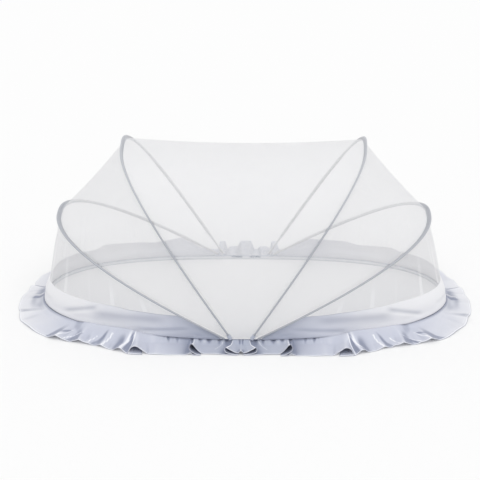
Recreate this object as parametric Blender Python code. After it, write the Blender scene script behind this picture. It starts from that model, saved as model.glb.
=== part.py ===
"""Foldable baby mosquito net: four bound wire ribs that fan out over an oval base, five net panels between
them, a low cloth band round each end, and a gathered skirt that lies outward on the floor.

Metres, +Z up. +X runs along the length and -Y is the front. The net stands on the plane Z = 0, and the origin
is under the middle of its footprint. Distances along the base are measured on its tape, from the front middle.
"""

import math

import bmesh
import bpy
import numpy as np
from mathutils import Vector

# The base is an oval, blunter behind than in front
FINE_POINTS = 4000
TANGENT_STEP = 0.004
HALF_LENGTH = 0.550
HALF_WIDTH = 0.286
FRONT_ROUNDNESS = 2.06
REAR_ROUNDNESS = 2.69
FRONT_MIDDLE = -0.008
REAR_MIDDLE = 0.001

# The tape that the walls, the net and the skirt are sewn into
TAPE_THICKNESS = 0.004
TAPE_HEIGHT = 0.010
TAPE_COLUMNS = 96

# Ribs: each is an arch in a leaning plane, from a front foot to a rear foot. Tilt is in degrees from upright, nod is
# how far the arch leans to the back for each metre that it rises, and the feet are distances from the middle
RIB_COLUMNS = ("name", "tilt", "reach", "roundness", "nod", "front_foot", "rear_foot")
RIB_ROWS = (
    ("tall", 32.1, 0.522, 2.98, -0.052, 0.021, 0.063),
    ("low", 60.8, 0.510, 2.54, 0.015, 0.028, 0.070),
)
RIBS = {row[0]: dict(zip(RIB_COLUMNS, row)) for row in RIB_ROWS}
FOOT_OUTSIDE_TAPE = 0.004
PIVOT_HEIGHT = 0.006
RIB_FOOT_HEIGHT = 0.0135
RIB_STATIONS = 40
RIB_FINE_STATIONS = 400

# The binding stands out of the arch like a fin, thickest over its rod: (outward, sideways)
FIN_SECTION = (
    (-0.0070, -0.0012),
    (0.0030, -0.0025),
    (0.0070, -0.0012),
    (0.0070, 0.0012),
    (0.0030, 0.0025),
    (-0.0070, 0.0012),
)
SEWN_INWARD = 0.004
SEWN_SIDEWAYS = 0.0028

# Cloth
NET_THICKNESS = 0.0012
CLOTH_THICKNESS = 0.0014
GAP = 0.0004
NET_FOOT_HEIGHT = 0.0112
SHOULDER_FOOT_HEIGHT = 0.0150
RIDGE_SAG = 0.012
SHOULDER_SAG = 0.004
TOP_COLUMNS, TOP_CELLS = 31, 6
SHOULDER_COLUMNS, SHOULDER_CELLS = 27, 4

# The band: its top edge by distance from the front middle, and how far it leans in there
BAND_COLUMNS = ("along", "left_height", "right_height", "lean_in")
BAND_ROWS = (
    (0.00, 0.070, 0.070, 0.000),
    (0.20, 0.070, 0.070, -0.002),
    (0.28, 0.070, 0.071, 0.003),
    (0.34, 0.073, 0.071, 0.006),
    (0.44, 0.072, 0.074, 0.009),
    (0.55, 0.070, 0.071, 0.013),
    (0.68, 0.070, 0.069, 0.016),
    (0.80, 0.068, 0.066, 0.014),
    (0.92, 0.062, 0.062, 0.011),
    (0.95, 0.071, 0.068, 0.010),
    (1.05, 0.066, 0.062, 0.009),
    (1.10, 0.062, 0.070, 0.008),
    (1.20, 0.072, 0.068, 0.002),
    (1.38, 0.072, 0.070, 0.000),
)
BAND_FRONT_START = 0.058
BAND_REAR_START = {"left": 0.100, "right": 0.088}
BAND_BULGE = 0.006
BAND_BULGE_HEIGHT = 0.050
BAND_RIB_CLEARANCE = 0.0062
BAND_RIB_REACHED = 0.062
BAND_STATIONS = 44
BAND_CELLS = 3

# The end net fills what is left between the band and the low rib, from where the rib is this high
END_NET_RIB_HEIGHT = 0.086
END_NET_GAP = 0.0024
END_NET_CELLS = 4
END_FOLD_DEPTH = 0.0030
END_FOLDS = 9

# The skirt: how far its hem lies from the middle of the tape
HEM_COLUMNS = ("along", "left_reach", "right_reach")
HEM_ROWS = (
    (0.00, 0.074, 0.074),
    (0.07, 0.066, 0.064),
    (0.12, 0.078, 0.079),
    (0.18, 0.082, 0.081),
    (0.24, 0.095, 0.095),
    (0.29, 0.096, 0.096),
    (0.34, 0.088, 0.088),
    (0.36, 0.090, 0.089),
    (0.39, 0.094, 0.094),
    (0.42, 0.101, 0.099),
    (0.45, 0.108, 0.108),
    (0.48, 0.106, 0.109),
    (0.55, 0.097, 0.096),
    (0.60, 0.078, 0.080),
    (0.66, 0.067, 0.068),
    (0.72, 0.056, 0.062),
    (0.76, 0.058, 0.060),
    (0.80, 0.062, 0.060),
    (0.86, 0.079, 0.078),
    (0.98, 0.082, 0.082),
    (1.38, 0.082, 0.082),
)
SKIRT_SEAM_HEIGHT = 0.0062
SKIRT_SEAM_GAP = 0.0014
SKIRT_DROP = 0.020
SKIRT_ROWS = (0.0, 0.16, 0.40, 0.70, 1.0)
SKIRT_SPACING = 0.034
WIDEST_SPACING = 0.054
LEAST_SPACING = 0.0035

# Tucks: the skirt doubles over itself, its loose edge away from the middle
TUCK_COLUMNS = ("along", "half_cloth", "swing", "height", "settle", "hem_pull")
TUCK_ROWS = (
    (0.034, 0.026, 0.018, 0.0150, 0.028, 0.014),
    (0.115, 0.034, 0.021, 0.0210, 0.030, 0.014),
)
TUCK_STATIONS = (-1.0, -0.72, -0.48, -0.24, 0.0, 0.24, 0.48, 0.72, 1.0)
TUCK_OPENING = 0.8
TUCK_TOP_ENDS = 0.6

# Folds that stand up from the hem: where at the hem, how much further from the middle at the seam, and the share
# of the half width over which each side rises
FOLD_COLUMNS = ("left", "right", "away", "half_width", "height", "lean", "starts", "slope")
FOLD_ROWS = (
    (0.002, None, 0.000, 0.010, 0.0035, 0.0, 0.30, 1.0),
    (0.185, 0.180, 0.000, 0.020, 0.0030, 0.0, 0.20, 1.0),
    (0.240, 0.243, 0.030, 0.026, 0.0170, 0.6, 0.00, 1.0),
    (0.282, 0.282, 0.000, 0.014, 0.0090, 0.0, 0.05, 1.0),
    (0.330, 0.338, 0.012, 0.017, 0.0060, 0.3, 0.00, 1.0),
    (0.383, 0.383, 0.034, 0.024, 0.0105, 0.4, 0.00, 1.0),
    (0.437, 0.445, 0.024, 0.024, 0.0120, 0.4, 0.00, 1.0),
    (0.520, 0.520, 0.010, 0.036, 0.0040, 0.0, 0.20, 1.0),
    (0.582, 0.582, -0.004, 0.026, 0.0060, 0.0, 0.00, 1.0),
    (0.650, 0.655, 0.000, 0.030, 0.0040, 0.0, 0.00, 1.0),
    (0.722, 0.735, 0.000, 0.020, 0.0080, -0.3, 0.00, 1.0),
    (0.790, 0.785, 0.005, 0.026, 0.0050, -0.3, 0.10, 1.0),
    (0.865, 0.872, 0.010, 0.024, 0.0070, -0.3, 0.00, 1.0),
    (0.950, 0.945, 0.010, 0.024, 0.0060, 0.0, 0.10, 1.0),
    (1.030, 1.036, 0.010, 0.022, 0.0080, 0.0, 0.00, 1.0),
    (1.110, 1.105, 0.010, 0.024, 0.0060, 0.0, 0.10, 1.0),
    (1.190, 1.195, 0.005, 0.022, 0.0080, 0.0, 0.00, 1.0),
    (1.250, 1.252, 0.000, 0.018, 0.0060, 0.0, 0.10, 1.0),
    (1.304, 1.304, 0.000, 0.014, 0.0260, 0.0, 0.00, 0.5),
    (1.336, 1.336, 0.000, 0.018, 0.0090, 0.0, 0.00, 0.4),
    (1.373, None, 0.000, 0.026, 0.0270, 0.0, 0.00, 0.4),
)
FOLD_STATIONS = (-1.0, -0.5, 0.0, 0.5, 1.0)
TALL_FOLD_STATIONS = (-1.0, -0.7, -0.4, 0.0, 0.4, 0.7, 1.0)
TALL_FOLD = 0.012
FOLD_WIDTH_AT_SEAM = 0.45

# Pockets: a short sleeve of tape round the outer edge of each tall rib's foot
POCKET_WALL = 0.0012
POCKET_GAP = 0.0005
POCKET_INWARD = 0.0005
POCKET_LENGTH = 0.014

NET_COLOUR = (0.90, 0.90, 0.91)
BINDING_COLOUR = (0.48, 0.50, 0.55)
CLOTH_COLOUR = (0.58, 0.61, 0.70)
TAPE_COLOUR = (0.72, 0.73, 0.77)
POCKET_COLOUR = (0.86, 0.87, 0.90)
CLOTH_ROUGHNESS = 0.85
SHARP_ANGLE = 40.0


def smooth(value):
    """0 below 0, 1 above 1, and an even S between."""
    value = min(max(value, 0.0), 1.0)
    return value * value * (3 - 2 * value)


def hump(value, slope=1.0):
    """1 at 0 and 0 at -1 and 1, rising over the outer share of each side that slope gives."""
    return smooth((1.0 - abs(value)) / slope)


def from_rows(rows, columns, at, wanted):
    """The wanted column of a table, read between its rows."""
    rows = np.array(rows)
    return float(np.interp(at, rows[:, 0], rows[:, columns.index(wanted)]))


def oval():
    """Finely spaced points of the base and their distance from the front middle, negative on the left."""
    turn = np.linspace(-math.pi, math.pi, FINE_POINTS + 1)
    power = 2 / np.where(np.cos(turn) > 0, FRONT_ROUNDNESS, REAR_ROUNDNESS)
    x = HALF_LENGTH * np.sign(np.sin(turn)) * np.abs(np.sin(turn)) ** power
    y = -HALF_WIDTH * np.sign(np.cos(turn)) * np.abs(np.cos(turn)) ** power
    along = np.concatenate([[0.0], np.cumsum(np.hypot(np.diff(x), np.diff(y)))])
    front = slice(FINE_POINTS // 4, FINE_POINTS * 3 // 4)
    return x, y, along - np.interp(FRONT_MIDDLE, x[front], along[front])


OVAL_X, OVAL_Y, OVAL_ALONG = oval()
OVAL_LENGTH = float(OVAL_ALONG[-1] - OVAL_ALONG[0])


def on_oval(along, outward=0.0):
    """The point of the base that far along, moved outward from it, at Z = 0."""
    ends = []
    for step in (-TANGENT_STEP, 0.0, TANGENT_STEP):
        at = (along + step - OVAL_ALONG[0]) % OVAL_LENGTH + OVAL_ALONG[0]
        ends.append(Vector((np.interp(at, OVAL_ALONG, OVAL_X), np.interp(at, OVAL_ALONG, OVAL_Y), 0.0)))
    forward = (ends[2] - ends[0]).normalized()
    return ends[1] + Vector((forward.y, -forward.x, 0.0)) * outward


def arch(rib, side, from_height, count):
    """Stations along a rib, each a (middle, outward, sideways) triple. Sideways is away from the other side."""
    front = Vector((FRONT_MIDDLE + side * rib["front_foot"], -HALF_WIDTH - FOOT_OUTSIDE_TAPE, PIVOT_HEIGHT))
    rear = Vector((REAR_MIDDLE + side * rib["rear_foot"], HALF_WIDTH + FOOT_OUTSIDE_TAPE, PIVOT_HEIGHT))
    half = (rear - front).length / 2
    back = (rear - front).normalized()
    tilt = math.radians(rib["tilt"])
    up = Vector((side * math.sin(tilt), 0.0, math.cos(tilt)))
    up = (up - up.dot(back) * back).normalized()
    turn = np.linspace(0.0, math.pi, FINE_POINTS // 2 + 1)
    power = 2 / rib["roundness"]
    rise = rib["reach"] * np.abs(np.sin(turn)) ** power
    run = -half * np.sign(np.cos(turn)) * np.abs(np.cos(turn)) ** power + rib["nod"] * rise
    points = np.array((front + rear) / 2) + np.outer(run, np.array(back)) + np.outer(rise, np.array(up))
    points = points[points[:, 2] >= from_height]
    along = np.concatenate([[0.0], np.cumsum(np.linalg.norm(np.diff(points, axis=0), axis=1))])
    at = np.linspace(0.0, along[-1], count)
    middles = np.stack([np.interp(at, along, points[:, axis]) for axis in range(3)], axis=1)
    forward = np.gradient(middles, axis=0)
    sideways = back.cross(up).normalized() * side
    if sideways.x * side < 0:
        sideways.negate()
    stations = []
    for middle, ahead in zip(middles, forward):
        outward = Vector(ahead).cross(sideways).normalized()
        outward *= -side
        stations.append((Vector(middle), outward, sideways))
    return stations


def sewn_line(rib, side, face, from_height, count):
    """Where a panel is sewn to a rib: on its outer face, 1, or on its inner face, -1."""
    return [
        (middle - SEWN_INWARD * outward + face * SEWN_SIDEWAYS * sideways, outward)
        for middle, outward, sideways in arch(rib, side, from_height, count)
    ]


def cloth_material(name, colour):
    material = bpy.data.materials.new(name)
    material.use_nodes = True
    shader = material.node_tree.nodes["Principled BSDF"]
    shader.inputs["Base Color"].default_value = (*colour, 1.0)
    shader.inputs["Roughness"].default_value = CLOTH_ROUGHNESS
    shader.inputs["Metallic"].default_value = 0.0
    return material


def laid_grid(name, columns, rows, place, colour):
    """An object from a grid whose corners go to place(column, row). Corners that meet are joined."""
    grid = bmesh.new()
    bmesh.ops.create_grid(grid, x_segments=columns, y_segments=rows, size=0.5)
    for corner in grid.verts:
        column = round((corner.co.x + 0.5) * columns)
        row = round((corner.co.y + 0.5) * rows)
        corner.co = place(column, row)
    bmesh.ops.remove_doubles(grid, verts=grid.verts, dist=1e-5)
    mesh = bpy.data.meshes.new(name)
    grid.to_mesh(mesh)
    grid.free()
    mesh.materials.append(cloth_material(name, colour))
    mesh.shade_smooth()
    mesh.set_sharp_from_angle(angle=math.radians(SHARP_ANGLE))
    piece = bpy.data.objects.new(name, mesh)
    bpy.context.scene.collection.objects.link(piece)
    return piece


def close_ends(piece):
    """Caps the open ends of a tube and turns its faces outward."""
    tube = bmesh.new()
    tube.from_mesh(piece.data)
    bmesh.ops.holes_fill(tube, edges=tube.edges, sides=0)
    bmesh.ops.recalc_face_normals(tube, faces=tube.faces)
    tube.to_mesh(piece.data)
    tube.free()


def thicken(piece, thickness, side=0.0):
    """Gives a sheet its thickness: 0 is both ways, -1 is away from its faces' front."""
    modifier = piece.modifiers.new("cloth thickness", "SOLIDIFY")
    modifier.thickness = thickness
    modifier.offset = side
    modifier.use_even_offset = False


def swept(name, stations, section, colour):
    """A closed section of (outward, sideways) corners carried along an arch."""

    def place(column, row):
        middle, outward, sideways = stations[column]
        out, across = section[row % len(section)]
        return middle + out * outward + across * sideways

    piece = laid_grid(name, len(stations) - 1, len(section), place, colour)
    close_ends(piece)
    return piece


def rib_binding(name, side):
    stations = arch(RIBS[name], side, RIB_FOOT_HEIGHT, RIB_STATIONS)
    return swept(f"rib_{name}_{side_name(side)}", stations, FIN_SECTION, BINDING_COLOUR)


def side_name(side):
    return "left" if side < 0 else "right"


def rib_pockets(side):
    """A U of tape round the fin's outer edge, at the front foot and at the rear foot."""
    inner = -POCKET_INWARD
    reach = FIN_SECTION[2][0] + POCKET_GAP
    spread = FIN_SECTION[4][1] + POCKET_GAP
    section = (
        (inner, -spread),
        (inner, -spread - POCKET_WALL),
        (reach + POCKET_WALL, -spread - POCKET_WALL),
        (reach + POCKET_WALL, spread + POCKET_WALL),
        (inner, spread + POCKET_WALL),
        (inner, spread),
        (reach, spread),
        (reach, -spread),
    )
    stations = arch(RIBS["tall"], side, RIB_FOOT_HEIGHT, RIB_FINE_STATIONS)
    whole = sum((b[0] - a[0]).length for a, b in zip(stations, stations[1:]))
    last = round(POCKET_LENGTH / whole * len(stations))
    for place, ends in (("front", stations[: last + 1 : last]), ("rear", stations[-last - 1 :: last])):
        swept(f"pocket_{place}_{side_name(side)}", ends, section, POCKET_COLOUR)


def between(name, first, second, rows, sag):
    """A net panel from one sewn line to another, drawn in between them where it is wide."""
    widest = max((b[0] - a[0]).length for a, b in zip(first, second))

    def place(column, row):
        (start, start_out), (end, end_out) = first[column], second[column]
        across = row / rows
        inward = -(start_out + end_out).normalized()
        width = (end - start).length / widest
        return start.lerp(end, across) + inward * sag * width * 4 * across * (1 - across)

    piece = laid_grid(name, len(first) - 1, rows, place, NET_COLOUR)
    thicken(piece, NET_THICKNESS)
    return piece


def top_net():
    left = sewn_line(RIBS["tall"], -1, -1, NET_FOOT_HEIGHT, TOP_COLUMNS + 1)
    right = sewn_line(RIBS["tall"], 1, -1, NET_FOOT_HEIGHT, TOP_COLUMNS + 1)
    return between("net_top", left, right, TOP_CELLS, RIDGE_SAG)


def shoulder_net(side):
    tall = sewn_line(RIBS["tall"], side, 1, SHOULDER_FOOT_HEIGHT, SHOULDER_COLUMNS + 1)
    low = sewn_line(RIBS["low"], side, -1, SHOULDER_FOOT_HEIGHT, SHOULDER_COLUMNS + 1)
    return between(f"net_shoulder_{side_name(side)}", tall, low, SHOULDER_CELLS, SHOULDER_SAG)


def low_rib_height(side):
    """Height of the low rib's middle by distance along the base, for the front half and the rear half."""
    stations = arch(RIBS["low"], side, PIVOT_HEIGHT, 2 * RIB_FINE_STATIONS)
    halves = []
    for part in (stations[:RIB_FINE_STATIONS], stations[RIB_FINE_STATIONS:]):
        x = [side * middle.x for middle, _, _ in part]
        order = np.argsort(x)
        halves.append((np.array(x)[order], np.array([middle.z for middle, _, _ in part])[order]))
    return halves


def band_top(side, along, rib_heights):
    """The band's top height: its own, or lower where it runs under the low rib."""
    own = from_rows(BAND_ROWS, BAND_COLUMNS, along, f"{side_name(side)}_height")
    x, height = rib_heights[0 if along < OVAL_LENGTH / 4 else 1]
    under = float(np.interp(side * on_oval(side * along).x, x, height)) - BAND_RIB_CLEARANCE
    return min(own, under)


def band_lean(along):
    return from_rows(BAND_ROWS, BAND_COLUMNS, along, "lean_in")


def clear_of_rib(top):
    """Whether the band has reached its own height there, out from under the rib."""
    return top.z > BAND_RIB_REACHED


def band_edge(side):
    """Stations of the band: distance along the base, and the point on its top edge."""
    heights = low_rib_height(side)
    last = OVAL_LENGTH / 2 - BAND_REAR_START[side_name(side)]
    stations = []
    for along in np.linspace(BAND_FRONT_START, last, BAND_STATIONS):
        point = on_oval(side * along, -band_lean(along))
        point.z = band_top(side, along, heights)
        stations.append((along, point))
    return stations


def cloth_band(side):
    """The low wall round one end, from beside the front feet to beside the rear feet."""
    stations = band_edge(side)
    foot = TAPE_HEIGHT + GAP

    def place(column, row):
        along, top = stations[column]
        up = row / BAND_CELLS
        bulge = BAND_BULGE * math.sin(math.pi * up) * smooth((top.z - foot) / BAND_BULGE_HEIGHT)
        point = on_oval(side * along, bulge - band_lean(along) * up)
        point.z = foot + (top.z - foot) * up
        return point

    piece = laid_grid(f"band_{side_name(side)}", len(stations) - 1, BAND_CELLS, place, CLOTH_COLOUR)
    thicken(piece, CLOTH_THICKNESS)
    return piece


def end_net(side):
    """The net from the low rib's outer face down to the band, with a few soft upright folds."""
    sewn = sewn_line(RIBS["low"], side, 1, END_NET_RIB_HEIGHT, RIB_FINE_STATIONS)
    edge = [top for _, top in band_edge(side)]
    first, last = (next(i for i, top in enumerate(line) if clear_of_rib(top)) for line in (edge, edge[::-1]))
    foot = edge[first : len(edge) - last]

    def place(column, row):
        share = column / (len(foot) - 1)
        up = row / END_NET_CELLS
        top, outward = sewn[round(share * (len(sewn) - 1))]
        low = foot[column] + Vector((0.0, 0.0, END_NET_GAP))
        folds = math.sin(math.pi * END_FOLDS * share) * math.sin(math.pi * share)
        flat_out = Vector((outward.x, outward.y, 0.0))
        return low.lerp(top, up) + flat_out * END_FOLD_DEPTH * folds * math.sin(math.pi * up)

    piece = laid_grid(f"net_end_{side_name(side)}", len(foot) - 1, END_NET_CELLS, place, NET_COLOUR)
    thicken(piece, NET_THICKNESS)
    return piece


def base_tape():
    """A flat tape on edge, all round the base."""
    half = TAPE_THICKNESS / 2
    section = ((-half, 0.0), (half, 0.0), (half, TAPE_HEIGHT), (-half, TAPE_HEIGHT))

    def place(column, row):
        outward, height = section[row % len(section)]
        point = on_oval(OVAL_LENGTH * (column % TAPE_COLUMNS) / TAPE_COLUMNS, outward)
        point.z = height
        return point

    piece = laid_grid("base_tape", TAPE_COLUMNS, len(section), place, TAPE_COLOUR)
    close_ends(piece)
    return piece


def placed(rows, columns):
    """The rows of a table as dictionaries, one for each side, with their signed distance from the middle."""
    found = []
    for row in rows:
        values = dict(zip(columns, row))
        for side in (-1, 1):
            along = values[side_name(side)] if "left" in values else values["along"]
            if along is not None:
                found.append(dict(values, side=side, at=side * along))
    return found


TUCKS = placed(TUCK_ROWS, TUCK_COLUMNS)
FOLDS = placed(FOLD_ROWS, FOLD_COLUMNS)


def apart(first, second):
    """The signed distance along the base from the second place to the first, the shorter way round."""
    return (first - second + OVAL_LENGTH / 2) % OVAL_LENGTH - OVAL_LENGTH / 2


def skirt_stations():
    """Distances along the seam, once round from the rear, closer together at tucks and folds."""
    start = -OVAL_LENGTH / 2
    wanted = {start, start + OVAL_LENGTH}
    for tuck in TUCKS:
        wanted |= {tuck["at"] + share * tuck["half_cloth"] for share in TUCK_STATIONS}
    for fold in FOLDS:
        shares = TALL_FOLD_STATIONS if fold["height"] > TALL_FOLD else FOLD_STATIONS
        for share in shares:
            wanted.add(apart(fold["at"] + share * fold["half_width"], 0.0))
    kept = [start]
    for along in sorted(wanted):
        while along - kept[-1] > WIDEST_SPACING:
            kept.append(kept[-1] + SKIRT_SPACING)
        if along - kept[-1] > LEAST_SPACING:
            kept.append(along)
    kept[-1] = start + OVAL_LENGTH
    return kept


def tuck_moves(along, out):
    """How far the tucks carry a point of the skirt outward along the seam, up, and in from the hem."""
    shift = lift = pull = 0.0
    for tuck in TUCKS:
        inside = tuck["side"] * (tuck["at"] - along)
        half = tuck["half_cloth"]
        opened = out**TUCK_OPENING
        if abs(inside) < half:
            shift += tuck["side"] * tuck["swing"] * opened * math.sin(math.pi * inside / half)
        if tuck["side"] * along > 0:
            rising = smooth((inside + half / 2) / half)
            settling = smooth((inside - half * TUCK_TOP_ENDS) / tuck["settle"])
            lift += tuck["height"] * opened * rising * (1 - settling)
            pull += tuck["hem_pull"] * out * hump((inside - half / 2) / half)
    return shift, lift, pull


def fold_moves(along, out):
    """How far the standing folds carry a point of the skirt along the seam and up."""
    shift = lift = 0.0
    for fold in FOLDS:
        middle = fold["at"] + fold["side"] * fold["away"] * (1 - out)
        width = fold["half_width"] * (FOLD_WIDTH_AT_SEAM + (1 - FOLD_WIDTH_AT_SEAM) * out)
        grown = smooth((out - fold["starts"]) / (1 - fold["starts"]))
        rise = fold["height"] * grown * hump(apart(along, middle) / width, fold["slope"])
        shift += fold["side"] * fold["lean"] * rise
        lift += rise
    return shift, lift


def skirt():
    """One gathered ring, its underside flat on the floor between the tucks and folds."""
    stations = skirt_stations()
    start = TAPE_THICKNESS / 2 + SKIRT_SEAM_GAP

    def place(column, row):
        along = stations[column]
        out = SKIRT_ROWS[row]
        side = -1 if along < 0 else 1
        reach = from_rows(HEM_ROWS, HEM_COLUMNS, abs(along), f"{side_name(side)}_reach") - start
        tuck_shift, tuck_lift, pull = tuck_moves(along, out)
        fold_shift, fold_lift = fold_moves(along, out)
        drop = smooth(out * reach / SKIRT_DROP)
        point = on_oval(along + tuck_shift + fold_shift, start + out * reach - pull)
        point.z = SKIRT_SEAM_HEIGHT * (1 - drop) + tuck_lift + fold_lift
        return point

    piece = laid_grid("skirt", len(stations) - 1, len(SKIRT_ROWS) - 1, place, CLOTH_COLOUR)
    thicken(piece, CLOTH_THICKNESS, side=-1.0)
    return piece


def centre_footprint():
    """Hangs every piece on one empty, moved so that the origin is under the middle of the footprint."""
    pieces = [piece for piece in bpy.data.objects if piece.type == "MESH"]
    bpy.context.view_layer.update()
    graph = bpy.context.evaluated_depsgraph_get()
    corners = []
    for piece in pieces:
        corners += [Vector(corner) for corner in piece.evaluated_get(graph).bound_box]
    carrier = bpy.data.objects.new("net_origin", None)
    bpy.context.scene.collection.objects.link(carrier)
    for axis in (0, 1):
        values = [corner[axis] for corner in corners]
        carrier.location[axis] = -(min(values) + max(values)) / 2
    for piece in pieces:
        piece.parent = carrier


def build():
    for old in list(bpy.data.objects):
        bpy.data.objects.remove(old, do_unlink=True)
    base_tape()
    skirt()
    top_net()
    for side in (-1, 1):
        for name in RIBS:
            rib_binding(name, side)
        rib_pockets(side)
        shoulder_net(side)
        end_net(side)
        cloth_band(side)
    centre_footprint()


build()
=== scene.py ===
# %% [markdown]
# Foldable baby mosquito net. Two pairs of bound wire ribs fan out from the middle of an oval base and hold five
# panels of sheer net over it. A low band of cloth closes each end, and a gathered skirt lies outward on the floor.
# The solid model comes first, as a fixed frame: every piece below is made in its coordinates and set on it.

# %% The solid model
import math

import bmesh
import bpy
import numpy as np
from mathutils import Matrix, Vector


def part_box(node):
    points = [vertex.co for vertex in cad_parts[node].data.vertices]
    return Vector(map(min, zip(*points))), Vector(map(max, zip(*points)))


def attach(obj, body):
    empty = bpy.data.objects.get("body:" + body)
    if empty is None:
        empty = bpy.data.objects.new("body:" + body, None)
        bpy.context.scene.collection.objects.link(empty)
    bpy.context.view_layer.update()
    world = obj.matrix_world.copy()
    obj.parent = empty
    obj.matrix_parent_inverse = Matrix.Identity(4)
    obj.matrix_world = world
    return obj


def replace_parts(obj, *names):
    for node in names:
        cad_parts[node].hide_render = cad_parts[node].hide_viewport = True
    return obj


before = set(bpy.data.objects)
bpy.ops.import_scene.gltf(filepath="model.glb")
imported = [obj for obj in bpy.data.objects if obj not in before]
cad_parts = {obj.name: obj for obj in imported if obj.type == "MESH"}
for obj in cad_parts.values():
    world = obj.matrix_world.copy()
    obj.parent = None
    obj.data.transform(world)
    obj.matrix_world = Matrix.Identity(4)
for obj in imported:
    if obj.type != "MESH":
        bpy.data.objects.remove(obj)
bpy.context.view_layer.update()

# %% [markdown]
# The net is seen from the front and a little above, through a long lens, so that the far side is hardly smaller
# than the near one. The camera could be aimed with a constraint, but three directions worked out from its pitch
# and turn say exactly where it stands, and nothing is left live on it.

# %% The camera
IMAGE_SIDE = 480
FOCAL_PIXELS = 1176.36
SENSOR_WIDTH = 36.0
CAMERA_PITCH = math.radians(21.0)
CAMERA_TURN = math.radians(0.5988)
CAMERA_DISTANCE = 3.2
AIM_FROM_BASE_CENTRE = Vector((-0.0141, 0.0, 0.1707))

tape_low, tape_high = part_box("base_tape")
BASE_CENTRE = Vector(((tape_low.x + tape_high.x) / 2, (tape_low.y + tape_high.y) / 2, 0.0))


def make_camera():
    lens = bpy.data.cameras.new("photo_camera")
    lens.sensor_width = SENSOR_WIDTH
    lens.lens = SENSOR_WIDTH * FOCAL_PIXELS / IMAGE_SIDE
    camera = bpy.data.objects.new("photo_camera", lens)
    bpy.context.scene.collection.objects.link(camera)
    level = math.cos(CAMERA_PITCH)
    back = Vector((math.sin(CAMERA_TURN) * level, -math.cos(CAMERA_TURN) * level, math.sin(CAMERA_PITCH)))
    right = Vector((math.cos(CAMERA_TURN), math.sin(CAMERA_TURN), 0.0))
    up = back.cross(right)
    stand = Matrix((right, up, back)).transposed().to_4x4()
    stand.translation = BASE_CENTRE + AIM_FROM_BASE_CENTRE + back * CAMERA_DISTANCE
    camera.matrix_world = stand
    bpy.context.scene.camera = camera
    return lens


print("lens", round(make_camera().lens, 1), "mm; base centre", tuple(round(value, 4) for value in BASE_CENTRE))

# %% [markdown]
# Everything is sewn to one line, the oval base, so the oval comes first. It is a rounded oval, blunter behind than
# in front. A curve object could hold it, but a place on it is needed thousands of times, so it is kept as finely
# spaced points, and a place is read as a distance from the front middle, negative on the left.

# %% The oval base
FINE_POINTS = 4000
TANGENT_STEP = 0.004
HALF_LENGTH, HALF_WIDTH = 0.550, 0.286
FRONT_ROUNDNESS, REAR_ROUNDNESS = 2.06, 2.69
FRONT_MIDDLE, REAR_MIDDLE = -0.008, 0.001
TAPE_THICKNESS, TAPE_HEIGHT = 0.004, 0.010


def oval():
    turn = np.linspace(-math.pi, math.pi, FINE_POINTS + 1)
    power = 2 / np.where(np.cos(turn) > 0, FRONT_ROUNDNESS, REAR_ROUNDNESS)
    x = HALF_LENGTH * np.sign(np.sin(turn)) * np.abs(np.sin(turn)) ** power
    y = -HALF_WIDTH * np.sign(np.cos(turn)) * np.abs(np.cos(turn)) ** power
    along = np.concatenate([[0.0], np.cumsum(np.hypot(np.diff(x), np.diff(y)))])
    front = slice(FINE_POINTS // 4, FINE_POINTS * 3 // 4)
    return x, y, along - np.interp(FRONT_MIDDLE, x[front], along[front])


OVAL_X, OVAL_Y, OVAL_ALONG = oval()
OVAL_LENGTH = float(OVAL_ALONG[-1] - OVAL_ALONG[0])
HALF_ROUND = OVAL_LENGTH / 2


def on_oval(along, outward=0.0, height=0.0):
    """The point of the base that far along, moved outward from it and up."""
    ends = []
    for step in (-TANGENT_STEP, 0.0, TANGENT_STEP):
        at = (along + step - OVAL_ALONG[0]) % OVAL_LENGTH + OVAL_ALONG[0]
        ends.append(Vector((np.interp(at, OVAL_ALONG, OVAL_X), np.interp(at, OVAL_ALONG, OVAL_Y), 0.0)))
    forward = (ends[2] - ends[0]).normalized()
    return BASE_CENTRE + ends[1] + Vector((forward.y, -forward.x, 0.0)) * outward + Vector((0.0, 0.0, height))


def apart(first, second):
    """The signed distance along the base from the second place to the first, the shorter way round."""
    return (first - second + HALF_ROUND) % OVAL_LENGTH - HALF_ROUND


print("base", round(OVAL_LENGTH, 3), "metres round")

# %% [markdown]
# Cloth has no corners, so nearly every measure below fades in and out along an even S curve. What changes from
# place to place, such as the height of the band, is read from a short table, smoothly between its rows.

# %% Smooth changes and tables


def smooth(value):
    """0 below 0, 1 above 1, and an even S between."""
    value = min(max(value, 0.0), 1.0)
    return value * value * (3 - 2 * value)


def hump(value, slope=1.0):
    """1 at 0 and 0 at -1 and 1, rising over the outer share of each side that slope gives."""
    return smooth((1.0 - abs(value)) / slope)


def from_rows(rows, column, at):
    """One column of a table, read smoothly between its rows."""
    places = [row[0] for row in rows]
    if at <= places[0]:
        return rows[0][column]
    for first, second in zip(rows, rows[1:]):
        if at <= second[0]:
            share = smooth((at - first[0]) / (second[0] - first[0]))
            return first[column] + (second[column] - first[column]) * share
    return rows[-1][column]


def side_name(side):
    return "left" if side < 0 else "right"


# %% [markdown]
# A piece of cloth is a grid that is laid in place: each corner of a flat grid goes to a point that a formula gives
# for its shares along and across the piece. The grid also gets a map of the cloth in metres, so that the weave
# keeps its real size and follows each fold. A cloth simulation would find folds of its own, but the folds of this
# net are particular ones, and a formula puts them where they are.

# %% Laying cloth
ROOT = "root"
CLOTH_MAP = "cloth_metres"
PAINTED_FOLD_LIGHT = "painted_fold_light"


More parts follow.
